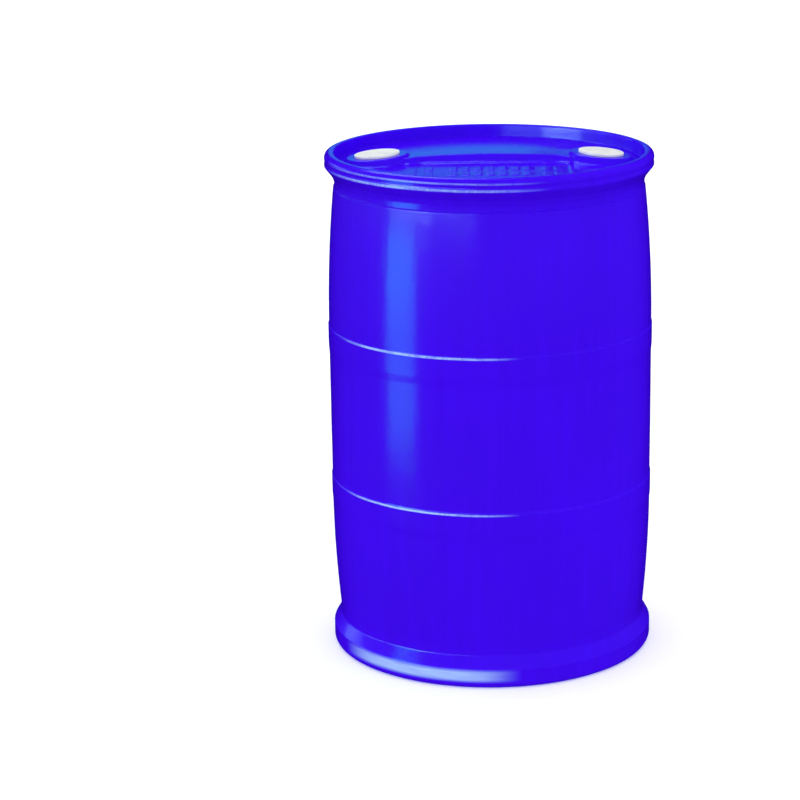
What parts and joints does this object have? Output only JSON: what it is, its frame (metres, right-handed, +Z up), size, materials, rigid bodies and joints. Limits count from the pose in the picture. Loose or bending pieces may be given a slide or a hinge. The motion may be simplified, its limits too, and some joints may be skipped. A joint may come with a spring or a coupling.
{
  "type": "plastic chemical drum",
  "caption": "Tight-head blow-moulded plastic drum with moulded rim rings at top and foot, rolling hoops, a recessed crowned head, screw bungs and white push-on seals.",
  "frame": {"origin": "middle of the foot ring's contact plane, on the drum's axis", "axes": "+Z up along the drum's axis; the bungs lie along X, left bung at -X; the raised label frame faces -Y"},
  "size_m": [0.581, 0.581, 0.9],
  "materials": {
    "drum_hdpe": "blue blow-moulded high-density polyethylene, satin sheen",
    "neck_hdpe": "blue injection-moulded high-density polyethylene",
    "gasket_rubber": "black moulded elastomer",
    "plug_hdpe": "blue injection-moulded high-density polyethylene",
    "cap_white": "white low-density polyethylene, faintly translucent"
  },
  "bodies": {
    "drum": {"drum_body": "drum_hdpe", "neck_left": "neck_hdpe", "neck_right": "neck_hdpe"},
    "gasket_left_body": {"gasket_left": "gasket_rubber"},
    "plug_left_body": {"plug_left": "plug_hdpe"},
    "cap_left_body": {"cap_seal_left": "cap_white"},
    "gasket_right_body": {"gasket_right": "gasket_rubber"},
    "plug_right_body": {"plug_right": "plug_hdpe"},
    "cap_right_body": {"cap_seal_right": "cap_white"}
  },
  "joints": [
    {"name": "gasket_left_lift", "type": "slide", "parent": "drum", "child": "gasket_left_body", "axis": [-0.0872, 0, 0.9962], "range_m": [0, 0.0241]},
    {"name": "plug_left_turn", "type": "hinge", "parent": "gasket_left_body", "child": "plug_left_body", "pos_m": [-0.197, 0, 0.8913], "axis": [-0.0872, 0, 0.9962], "range_deg": [0, 2160]},
    {"name": "cap_left_pull", "type": "slide", "parent": "plug_left_body", "child": "cap_left_body", "axis": [-0.0872, 0, 0.9962], "range_m": [0, 0.06]},
    {"name": "gasket_right_lift", "type": "slide", "parent": "drum", "child": "gasket_right_body", "axis": [0.0872, 0, 0.9962], "range_m": [0, 0.02434]},
    {"name": "plug_right_turn", "type": "hinge", "parent": "gasket_right_body", "child": "plug_right_body", "pos_m": [0.197, 0, 0.8913], "axis": [0.0872, 0, 0.9962], "range_deg": [0, 3780]},
    {"name": "cap_right_pull", "type": "slide", "parent": "plug_right_body", "child": "cap_right_body", "axis": [0.0872, 0, 0.9962], "range_m": [0, 0.06]}
  ],
  "couplings": [
    {"joint": "gasket_left_lift", "follows": "plug_left_turn", "m_per_rad": 0.00063662},
    {"joint": "gasket_right_lift", "follows": "plug_right_turn", "m_per_rad": 0.00036749}
  ]
}
